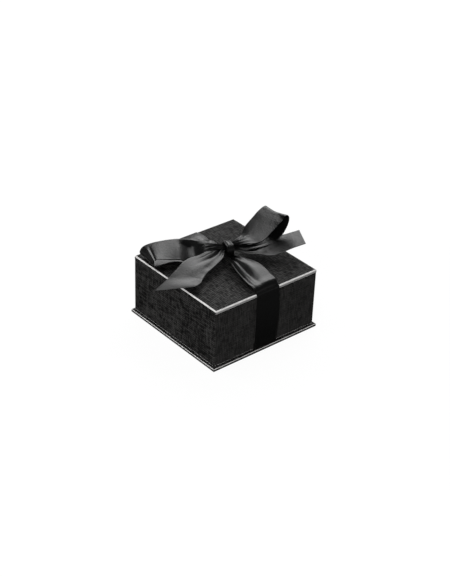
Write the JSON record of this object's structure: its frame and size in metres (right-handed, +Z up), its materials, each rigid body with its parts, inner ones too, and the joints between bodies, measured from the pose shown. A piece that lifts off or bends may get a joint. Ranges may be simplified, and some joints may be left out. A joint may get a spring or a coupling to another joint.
{
  "type": "jewelry gift box",
  "caption": "Square black linen-paper gift box with a full-depth lift-off lid tied with a satin ribbon bow, over a flanged base with a tray and a lift-out velvet pad.",
  "frame": {"origin": "middle of the underside of the base, where the box rests", "axes": "+Z up, -Y towards the front wall that the ribbon runs down, +X to the right seen from the front"},
  "size_m": [0.1172, 0.0936, 0.0742],
  "materials": {
    "linen_paper": "satin",
    "black_paper": "matte",
    "greyboard": "matte",
    "gummed_tape": "matte",
    "foam": "matte",
    "velvet": "matte",
    "satin_lining": "satin",
    "satin_ribbon": "satin"
  },
  "bodies": {
    "base": {"base_board": "greyboard", "base_wrap": "linen_paper", "tray_floor_board": "greyboard", "tray_wall_front": "greyboard", "tray_wall_back": "greyboard", "tray_wall_left": "greyboard", "tray_wall_right": "greyboard", "tray_corner_stays": "gummed_tape", "tray_wrap": "black_paper", "tray_floor_lining": "black_paper"},
    "pad": {"pad_card": "greyboard", "pad_foam": "foam", "pad_velvet": "velvet"},
    "lid": {"lid_top_board": "greyboard", "lid_wall_front": "greyboard", "lid_wall_back": "greyboard", "lid_wall_left": "greyboard", "lid_wall_right": "greyboard", "lid_corner_stays": "gummed_tape", "lid_wrap": "linen_paper", "lid_lining": "black_paper", "lid_cushion_foam": "foam", "lid_cushion_satin": "satin_lining", "ribbon_band_front": "satin_ribbon", "ribbon_band_back": "satin_ribbon", "bow_knot": "satin_ribbon", "bow_loop_left": "satin_ribbon", "bow_loop_right": "satin_ribbon", "bow_tail_left": "satin_ribbon", "bow_tail_right": "satin_ribbon"}
  },
  "joints": [
    {"name": "lid_lift", "type": "slide", "parent": "base", "child": "lid", "axis": [0, 0, 1], "range_m": [0, 0.06]},
    {"name": "pad_lift", "type": "slide", "parent": "base", "child": "pad", "axis": [0, 0, 1], "range_m": [0, 0.014]}
  ]
}
